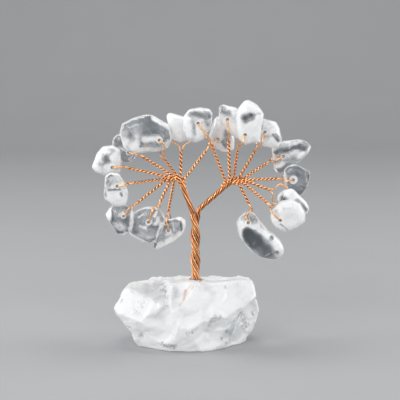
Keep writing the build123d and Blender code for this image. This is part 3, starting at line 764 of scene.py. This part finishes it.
def tube(name, points, middles, radius, depth=1.0, dark=0.0, sides=10):
    """A round wire through points, closed at both ends.

    It keeps the drawing marks' coordinates, and how far each point is turned towards the strand's
    neighbours, which lie round middles, times depth, and dark all along it.
    """
    corners = []
    marks = []
    grooves = []
    walked = 0.0
    side = across((points[1] - points[0]).normalized())[0]
    for place, point in enumerate(points):
        after = points[min(place + 1, len(points) - 1)]
        before = points[max(place - 1, 0)]
        heading = (after - before).normalized()
        side = (side - heading * side.dot(heading)).normalized()
        other = heading.cross(side)
        walked += (point - before).length
        outward = (point - middles[place]) if place < len(middles) else Vector()
        outward = outward.normalized() if outward.length > 0.1 else Vector()
        for step in range(sides):
            turn = 2 * math.pi * step / sides
            spoke = side * math.cos(turn) + other * math.sin(turn)
            corners.append(point + spoke * radius)
            marks += (math.cos(turn), math.sin(turn), walked * 0.05)
            # Painted shade, partly tarnish: grows where the wire turns towards its neighbours
            turned = 0.5 - 0.5 * spoke.dot(outward) if outward.length else 0.0
            grooves.append(dark + depth * turned)
    faces = []
    for place in range(len(points) - 1):
        for step in range(sides):
            low = place * sides
            nextdoor = (step + 1) % sides
            faces.append((low + step, low + nextdoor, low + sides + nextdoor, low + sides + step))
    faces.append(tuple(range(sides))[::-1])
    faces.append(tuple(range(len(corners) - sides, len(corners))))
    wire = mesh_object(name, corners, faces)
    layer = wire.data.attributes.new("drawn", "FLOAT_VECTOR", "POINT")
    layer.data.foreach_set("vector", marks)
    keep_values(wire.data, "tarnish_and_shade", grooves)
    return wire


def half_ring(share):
    """One branch's ring of strands in the trunk's section: its offset, its radius and the strands' spacing.

    share goes from 0, half of the trunk's ring, to 1, the branch's own ring.
    """
    spacing = math.pi / RING_WIRES * (1 + share)
    radius = STRAND_PITCH / 2 / math.sin(spacing / 2)
    offset = STRAND_PITCH / 2 - radius * math.cos(spacing * (RING_WIRES - 1) / 2)
    return offset, radius, spacing


def side_way(side):
    """The direction, square to the trunk, in which a branch leaves."""
    outward = Vector((-1 if side == "left" else 1, 0, 0))
    return (outward - TRUNK_AXIS * outward.dot(TRUNK_AXIS)).normalized()


def branch_line(side):
    """The middle of a branch, from the fork to its tip."""
    outward = side_way(side)
    offset = half_ring(1)[0]
    start = FORK + outward * offset
    leaving = (TRUNK_AXIS - TRUNK_AXIS.cross(outward) * (2 * math.pi * offset / TRUNK_LAY)).normalized()
    hub, tip = BRANCHES[side]
    lean = math.acos((hub - start).normalized().dot(TRUNK_AXIS))
    knee = start + (TRUNK_AXIS * math.sin(lean) + outward * (1 - math.cos(lean))) * FORK_BEND
    straight = (hub - knee).normalized()
    onward = (tip - hub).normalized()
    before = (hub - straight * HUB_BEND, straight)
    after = (hub + onward * HUB_BEND, onward)
    return Line(curve([(start, leaving), (knee, straight), before, after, (tip, onward)]))


def in_trunk(side, along, strand, slip):
    """A strand's point in the trunk, at that length below the fork, and the middle that it lies round."""
    outward = side_way(side)
    share = min(max(0.0, 1 + along / FORK_BLEND), 1.0)
    share = share * share * (3 - 2 * share)
    offset, radius, spacing = half_ring(share)
    angle = spacing * (strand - (RING_WIRES + 1) / 2) + slip
    if strand == 0:
        aside, over = STRAND_PITCH / 2 + (half_ring(1)[0] - STRAND_PITCH / 2) * share, 0.0
    else:
        aside, over = offset + radius * math.cos(angle), radius * math.sin(angle)
    aside *= 1 + TRUNK_SPREAD * (1 - share)
    over *= 1 - TRUNK_FLATTENED * (1 - share)
    turn = -2 * math.pi * along / TRUNK_LAY
    out = outward * math.cos(turn) + TRUNK_AXIS.cross(outward) * math.sin(turn)
    middle = FORK + TRUNK_AXIS * along
    return middle + out * aside + TRUNK_AXIS.cross(out) * over, middle + out * (offset * share)


def in_branch(side, line, along, strand, slip):
    """A strand's point out along its branch, and the branch's middle there."""
    middle = line.at(along)
    if strand == 0:
        return middle, middle
    outward = side_way(side)
    first, second = across(line.heading(0.0))
    angle = half_ring(1)[2] * (strand - (RING_WIRES + 1) / 2) + slip
    spoke = outward * math.cos(angle) + TRUNK_AXIS.cross(outward) * math.sin(angle)
    turn = math.atan2(spoke.dot(second), spoke.dot(first)) - 2 * math.pi * along / BRANCH_LAY[side]
    return laid(line, along, half_ring(1)[1], turn), middle


def bundle(side, copper_finish):
    """The strands of one branch, from the socket to the branch's tip: the core, then its ring."""
    line = branch_line(side)
    dice = random.Random(11 if side == "left" else 12)
    bottom = -((FORK - FOOT).length + SOCKET_DEPTH)
    for strand in range(RING_WIRES + 1):
        sway = dice.uniform(0, 100)
        points = []
        middles = []
        steps = math.ceil((line.length - bottom) / 0.25)
        for step in range(steps + 1):
            along = bottom + (line.length - bottom) * step / steps
            slip = STRAND_SLIP * noise.noise(Vector((along / 6, sway, 7)))
            if along < 0:
                point, middle = in_trunk(side, along, strand, slip)
            else:
                point, middle = in_branch(side, line, along, strand, slip)
            points.append(point)
            middles.append(middle)
        dark = STRAND_TARNISH[strand % len(STRAND_TARNISH)]
        wire = tube(f"{side}_bundle_strand_{strand + 1}", points, middles, WIRE / 2, 1.0, dark)
        mounted(wire, "tree", "copper_wire", [f"{side}_bundle_wire_{strand + 1}"], copper_finish)
    return line


def loop_leg(crotch, axis, mouth, outward, standoff, rise, opened, drawn):
    """Stops of one leg of a twig's loop, from the crotch to the mouth of the hole."""
    reach = mouth - crotch
    inward = (reach - outward * reach.dot(outward)).normalized()
    sideways = axis.cross(outward).normalized()
    parting = crotch + outward * (PAIR_RADIUS + WIRE / 2)
    above = mouth + outward * standoff
    turn = above - inward * standoff
    shoulder = above - inward * ((above - crotch).dot(inward) - rise) + sideways * opened
    shoulder.x += (crotch.x - shoulder.x) * drawn
    first = (shoulder - parting).normalized()
    second = (turn - shoulder).normalized()
    return [
        (parting, (axis + first).normalized()),
        (shoulder, (first + second).normalized()),
        (turn, (second + inward).normalized()),
        (mouth, -outward),
    ]


def twig(name, branch, mouths, copper_finish):
    """A twig: one wire out of the branch, twisted with itself, through its chip's hole and back."""
    centre, (aside, up), station = TWIGS[name]
    crotch = Vector(centre) + Vector((aside, 0, up))
    spring = branch.at(branch.length - station)
    axis = (crotch - spring).normalized()
    root = spring + axis * (BUNDLE_RADIUS + TWIG_RADIUS + TWIG_ROOT)
    dice = random.Random(name)
    back = branch.length - station - dice.uniform(*TWIG_RUN)
    grain = branch.heading(back)
    out = (axis - grain * axis.dot(grain)).normalized()
    hidden = branch.at(back) + out * TWIG_SUNK
    leaves = branch.length - station - TWIG_LEAVING
    lying = branch.at(leaves) + out * (BUNDLE_RADIUS + 0.1)
    leaning = (branch.heading(leaves) + axis).normalized()
    end = crotch - axis * LOOP_OPENING
    middle = Line(curve([(hidden, grain), (lying, leaning), (root, axis), (end, axis)]))
    run = (mouths[1] - mouths[0]).normalized()
    first, second = across(axis)
    opening = (-run + axis * run.dot(axis)).normalized()
    phase = math.atan2(opening.dot(second), opening.dot(first))
    steps = math.ceil(middle.length / 0.22)
    strands = []
    for half in (0.0, math.pi):
        points = []
        for step in range(steps + 1):
            along = middle.length * step / steps
            turn = phase + half - 2 * math.pi * (along - middle.length) / TWIG_LAY
            points.append(laid(middle, along, PAIR_RADIUS, turn))
        strands.append(points)
    going, coming = strands
    middles = [middle.at(middle.length * step / steps) for step in range(steps + 1)]
    pull = crotch - mouths[0]
    pull = (pull - run * pull.dot(run)).normalized() * HOLE_SLACK
    opened = LOOPS_OPENED.get(name, LOOP_OPEN)
    rise = LOOPS_STEEP.get(name, LOOP_SHOULDER)
    drawn = LOOPS_DRAWN.get(name, 0.0)
    standoff = LOOP_STANDOFF + LOOPS_SLACK.get(name, 0.0)
    for points, mouth, outward in ((going, mouths[0] + pull, -run), (coming, mouths[1] + pull, run)):
        leaving = (points[-1] - points[-2]).normalized()
        leg = loop_leg(crotch, axis, mouth, outward, standoff, rise, opened, drawn)
        points += curve([(points[-1], leaving)] + leg)[1:]
    loop = going[len(middles):] + coming[:len(middles) - 1:-1]
    middles = middles + loop + middles[::-1]
    wire = tube(f"twig_wire_{name}", going + coming[::-1], middles, WIRE / 2, 0.5, 0.0, 9)
    mounted(wire, "tree", "copper_wire", [f"twig_{name}"], copper_finish)


# Stones
def settled(name, shape):
    """The mesh that an editable one has become."""
    mesh = bpy.data.meshes.new(name)
    shape.to_mesh(mesh)
    shape.free()
    return mesh


def in_millimetres(node):
    """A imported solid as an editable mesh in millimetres, its doubled points joined."""
    shape = bmesh.new()
    shape.from_mesh(frame["nodes"][node].data)
    bmesh.ops.scale(shape, vec=(1 / MM, 1 / MM, 1 / MM), verts=shape.verts)
    bmesh.ops.remove_doubles(shape, verts=shape.verts, dist=0.002)
    return shape


def worked(name, shape, *modifiers):
    """The mesh, in millimetres, that modifiers make of a shape. Each is a kind and its settings."""
    mesh = settled(name, shape)
    thing = new_object(name, mesh)
    for kind, settings in modifiers:
        modifier = thing.modifiers.new(kind.lower(), kind)
        for key, value in settings.items():
            setattr(modifier, key, value)
    graph = bpy.context.evaluated_depsgraph_get()
    result = bpy.data.meshes.new_from_object(thing.evaluated_get(graph))
    bpy.data.objects.remove(thing)
    bpy.data.meshes.remove(mesh)
    return result


def read(rows, key):
    """A mesh's points or normals as rows of three numbers."""
    values = np.empty(len(rows) * 3)
    rows.foreach_get(key, values)
    return values.reshape(-1, 3)


def points_of(mesh):
    return read(mesh.vertices, "co")


def normals_of(mesh):
    return read(mesh.vertex_normals, "vector")


def moved(mesh, points):
    mesh.vertices.foreach_set("co", points.ravel())
    mesh.update()


def relaxed(mesh, rounds, pull=0.5):
    """Rounds the mesh off by drawing each point towards its neighbours."""
    ends = np.empty(len(mesh.edges) * 2, dtype=np.int64)
    mesh.edges.foreach_get("vertices", ends)
    ends = ends.reshape(-1, 2)
    points = points_of(mesh)
    count = np.zeros(len(points))
    np.add.at(count, ends.ravel(), 1)
    for _ in range(rounds):
        total = np.zeros_like(points)
        np.add.at(total, ends[:, 0], points[ends[:, 1]])
        np.add.at(total, ends[:, 1], points[ends[:, 0]])
        points += pull * (total / count[:, None] - points)
    moved(mesh, points)


def smooth_step(values, low, high):
    share = np.clip((values - low) / (high - low), 0, 1)
    return share * share * (3 - 2 * share)


def lumps(points, scale, seed):
    """Soft noise from -1 to 1 at each point."""
    shift = Vector((seed * 3.7, seed * 1.9, seed * 5.3))
    return np.array([noise.noise(Vector(point) * scale + shift) for point in points])


def undrilled(node, place, run):
    """The chip's solid with its hole filled."""
    shape = in_millimetres(node)
    wall = [v for v in shape.verts if (v.co - place).cross(run).length < BORE_RADIUS + 0.03]
    bmesh.ops.delete(shape, geom=wall, context="VERTS")
    bmesh.ops.holes_fill(shape, edges=[e for e in shape.edges if e.is_boundary], sides=0)
    bmesh.ops.triangulate(shape, faces=shape.faces)
    bmesh.ops.recalc_face_normals(shape, faces=shape.faces)
    return shape


def strokes(flat, marks):
    """Strength of a stone's marks at each (across, up) point."""
    total = np.zeros(len(flat))
    for start, end, reach, strength in marks:
        start = np.array(start)
        way = np.array(end) - start
        share = np.clip((flat - start) @ way / (way @ way), 0, 1)
        apart = np.linalg.norm(flat - start - share[:, None] * way, axis=1)
        total += strength * (1 - smooth_step(apart, 0.0, 1.9 * reach))
    return total


def joined(shape, rings):
    """Faces from each ring of points to the next."""
    made = []
    for low, high in zip(rings, rings[1:]):
        for step in range(len(low)):
            after = (step + 1) % len(low)
            made.append(shape.faces.new((low[step], low[after], high[after], high[step])))
    return made


def drill(mouths, run):
    """A rod where the hole runs, for cutting it out, with rings a little inside both mouths."""
    first, second = across(run) if abs(run.y) < 0.9 else (Vector((1, 0, 0)), Vector((0, 0, 1)))
    arms = [spoke * BORE_RADIUS for spoke in spokes(first, second, BORE_SIDES)]
    shape = bmesh.new()
    rings = []
    for mouth, distance in ((0, -8), (0, MOUTH_SHADE), (1, -MOUTH_SHADE), (1, 8)):
        end = mouths[mouth] + run * distance
        rings.append([shape.verts.new(end + arm) for arm in arms])
    joined(shape, rings)
    shape.faces.new(rings[0][::-1])
    shape.faces.new(rings[-1])
    bmesh.ops.recalc_face_normals(shape, faces=shape.faces)
    for face in shape.faces:
        face.material_index = 1
    return new_object("drill", settled("drill", shape))


def hole_mouths(shape, place, run):
    """Where the hole's axis leaves the undrilled chip, at both ends."""
    tree = BVHTree.FromBMesh(shape)
    first = tree.ray_cast(place - run * 30, run)[0]
    last = tree.ray_cast(place + run * 30, -run)[0]
    return first, last


def smooth_object(name, mesh):
    """A new object from a mesh in millimetres, smooth and with no material yet."""
    mesh.transform(((MM, 0, 0, 0), (0, MM, 0, 0), (0, 0, MM, 0), (0, 0, 0, 1)))
    mesh.polygons.foreach_set("use_smooth", [True] * len(mesh.polygons))
    mesh.materials.clear()
    return new_object(name, mesh)


def chip(name, crystal, wall):
    """A tumbled chip: the part's blank worn round, dented a little and drilled. Gives the hole's mouths."""
    node = f"chip_{name}"
    joint = next(j for j in frame["joints"] if j["child"] == node)
    place = Vector(joint["pos_m"]) / MM
    run = Vector(joint["axis"]).normalized()
    centre = TWIGS[name][0]
    milk, rim, marks = CHIP_LOOKS[name]
    blank = undrilled(node, place, run)
    mouths = hole_mouths(blank, place, run)
    seed = sum(ord(letter) for letter in name)
    dice = random.Random(seed)
    mesh = worked(name, blank, ("REMESH", {"mode": "VOXEL", "voxel_size": CHIP_CELL}))
    relaxed(mesh, 6)
    points = points_of(mesh)
    normals = normals_of(mesh)
    swell = 0.10 + 0.14 * lumps(points, 0.22, seed) + 0.06 * lumps(points, 0.55, seed + 5)
    for _ in range(3):
        dent = points[dice.randrange(len(points))]
        reach = dice.uniform(1.6, 2.8)
        apart = np.linalg.norm(points - dent, axis=1)
        swell -= dice.uniform(0.15, 0.3) * np.clip(1 - (apart / reach) ** 2, 0, None)
    moved(mesh, points + normals * swell[:, None])
    relaxed(mesh, 2)
    shape = bmesh.new()
    shape.from_mesh(mesh)
    bpy.data.meshes.remove(mesh)
    rod = drill(mouths, run)
    mesh = worked(name, shape, ("BOOLEAN", {"operation": "DIFFERENCE", "solver": "EXACT", "object": rod}))
    bpy.data.objects.remove(rod)
    points = points_of(mesh)
    normals = normals_of(mesh)
    # The chip's sides, square to the view along Y: frosted wear, partly a painted white sheen
    edge = smooth_step(1 - np.abs(normals[:, 1]), 0.22, 0.85)
    near = np.linalg.norm(np.cross(points - np.array(place), np.array(run)), axis=1)
    spread = COLLARS.get(name, COLLAR)
    collar = 1 - smooth_step(near, BORE_RADIUS + spread - 0.15, BORE_RADIUS + spread + 0.2)
    # Painted shade in the hole: dark near either mouth, chalky deeper in
    ends = [np.abs((points - np.array(mouth)) @ np.array(run)) for mouth in mouths]
    inside = smooth_step(np.minimum(*ends), 0.6 * MOUTH_SHADE, 0.95 * MOUTH_SHADE)
    flat = points[:, (0, 2)] - np.array([centre[0], centre[2]])
    sway = np.column_stack([lumps(points, 0.5, seed + 2), lumps(points, 0.5, seed + 9)])
    stone = smooth_object(f"quartz_chip_{name}", mesh)
    mesh.set_sharp_from_angle(angle=math.radians(50))
    keep_values(mesh, "frost_and_sheen", rim * edge + 1.1 * collar)
    keep_values(mesh, "cloud", milk + strokes(flat + 0.35 * sway, marks))
    keep_values(mesh, "mouth", 1 - inside)
    mounted(stone, node, slot_of(node), [node], crystal, wall)
    return mouths


def split_face(points, seed, count, tilt, limit):
    """Height of small flat scars: the stone falls into cells, each a plane tilted its own way."""
    dice = random.Random(seed)
    cells = KDTree(count)
    slopes = []
    for place in range(count):
        cell = Vector((dice.uniform(-26, 21), dice.uniform(-16, 15), dice.uniform(-1, 24)))
        cells.insert(cell, place)
        slopes.append((cell, Vector((dice.gauss(0, tilt), dice.gauss(0, tilt), dice.gauss(0, tilt)))))
    cells.balance()
    heights = []
    for point in points:
        point = Vector(point)
        (_, nearest, short), (_, following, long) = cells.find_n(point, 2)
        level = []
        for place in (nearest, following):
            cell, slope = slopes[place]
            level.append(max(-limit, min(limit, (point - cell).dot(slope))))
        share = min(1.0, (long - short) / 0.4) * 0.5 + 0.5
        heights.append(level[0] * share + level[1] * (1 - share))
    return np.array(heights)


def slanting(points):
    """The points turned so that the stone's ribs run along the first axis."""
    along = points[:, 0] * math.cos(RIB_SLOPE) + points[:, 2] * math.sin(RIB_SLOPE)
    over = points[:, 2] * math.cos(RIB_SLOPE) - points[:, 0] * math.sin(RIB_SLOPE)
    return np.column_stack([along * 0.16, points[:, 1] * 0.5, over])


def plugged(shape):
    """Brings the stone's hole in to the trunk, and its seat up level with the stone round it."""
    arms = spokes(*across(TRUNK_AXIS), 32)
    rings = []
    for radius, height in ((1.15, -8.9), (3.3, -8.9), (3.3, 0.0), (2.4, 0.14), (1.15, 0.1)):
        rings.append([shape.verts.new(FOOT + arm * radius + TRUNK_AXIS * height) for arm in arms])
    made = joined(shape, rings + rings[:1])
    bmesh.ops.recalc_face_normals(shape, faces=made)


def base(raw):
    """The raw stone: the part's split block with fine ribs and scars."""
    shape = in_millimetres("base_stone")
    plugged(shape)
    mesh = worked("base", shape, ("REMESH", {"mode": "VOXEL", "voxel_size": BASE_CELL}))
    relaxed(mesh, 4)
    points = points_of(mesh)
    normals = normals_of(mesh)
    seen = points[:, (0, 2)]
    rough = np.maximum(0.3 + strokes(seen, STONE_ROUGH), 0.12)
    height = rough * split_face(points, 6, 900, 0.22, 0.4)
    height += split_face(points, 5, 90, 0.05, 0.3)
    height += 0.20 * lumps(slanting(points), 0.5, 2) + 0.07 * lumps(slanting(points), 1.4, 6)
    height += 0.2 * lumps(points, 0.12, 3) + 0.04 * lumps(points, 1.2, 8)
    axis = np.array(TRUNK_AXIS)
    off = points - np.array(FOOT)
    from_trunk = np.linalg.norm(np.cross(off, axis), axis=1)
    height *= smooth_step(from_trunk, 1.6, 4.2)
    height *= smooth_step(points[:, 2], 0.05, 1.2)
    height = np.minimum(height, 0.8)
    moved(mesh, points + normals * height[:, None])
    relaxed(mesh, 1, 0.35)
    points = points_of(mesh)
    points[:, 2] = np.maximum(points[:, 2], 0.0)
    moved(mesh, points)
    front = smooth_step(-normals_of(mesh)[:, 1], 0.1, 0.5)
    seen = points[:, (0, 2)]
    seen = seen + 0.4 * np.column_stack([lumps(points, 0.6, 12), lumps(points, 0.6, 13)])
    stone = smooth_object("raw_quartz_base", mesh)
    keep_values(mesh, "clear_patch", strokes(seen, STONE_CLEAR) * front)
    # Painted shade on the faces turned to the front
    keep_values(mesh, "shaded_face", strokes(seen, STONE_SHADE) * front)
    # Painted light: the copper glow on the faces turned to the front
    keep_values(mesh, "copper_glow", strokes(seen, STONE_GLOW) * front)
    mounted(stone, "tree", "base_stone", ["base_stone"], raw)


def glue(clear):
    """The bead of glue at the trunk's foot: lumpy all round, with a sleeve down the socket."""
    sleeve = [(1.3, -8.6), (1.7, -8.6), (1.7, -0.1)]
    profile = sleeve + [(2.62, -0.12), (2.58, 0.14), (2.2, 0.34), (1.8, 0.5), (1.5, 0.72), (1.26, 0.9)]
    shape = bmesh.new()
    rings = []
    for place, (radius, height) in enumerate(profile):
        ring = []
        for spoke in spokes(*across(TRUNK_AXIS), 48):
            wave = noise.noise(spoke * 1.3 + Vector((4, 2, 0)))
            bulge = 0.25 * wave if 2 < place < 7 else 0.0
            lift = height * (1 + 0.5 * wave) if place > 3 else height
            ring.append(shape.verts.new(FOOT + spoke * (radius + bulge) + TRUNK_AXIS * lift))
        rings.append(ring)
    joined(shape, rings + rings[:1])
    bmesh.ops.recalc_face_normals(shape, faces=shape.faces)
    bead = smooth_object("glue_bead", settled("glue_bead", shape))
    bead.data.set_sharp_from_angle(angle=math.radians(60))
    mounted(bead, "tree", "clear_glue", ["glue_collar"], clear)


def main():
    """Sets the studio, then makes every piece."""
    camera()
    lights()
    floor(studio_paper())
    copper_finish = copper()
    crystal = quartz()
    wall = drilled_wall()
    mouths = {}
    for name in TWIGS:
        mouths[name] = chip(name, crystal, wall)
    for side in BRANCHES:
        branch = bundle(side, copper_finish)
        for name in TWIGS:
            if name.startswith(side):
                twig(name, branch, mouths[name], copper_finish)
    base(raw_quartz())
    glue(cured_glue())
    bpy.context.scene.view_settings.view_transform = "Standard"


main()
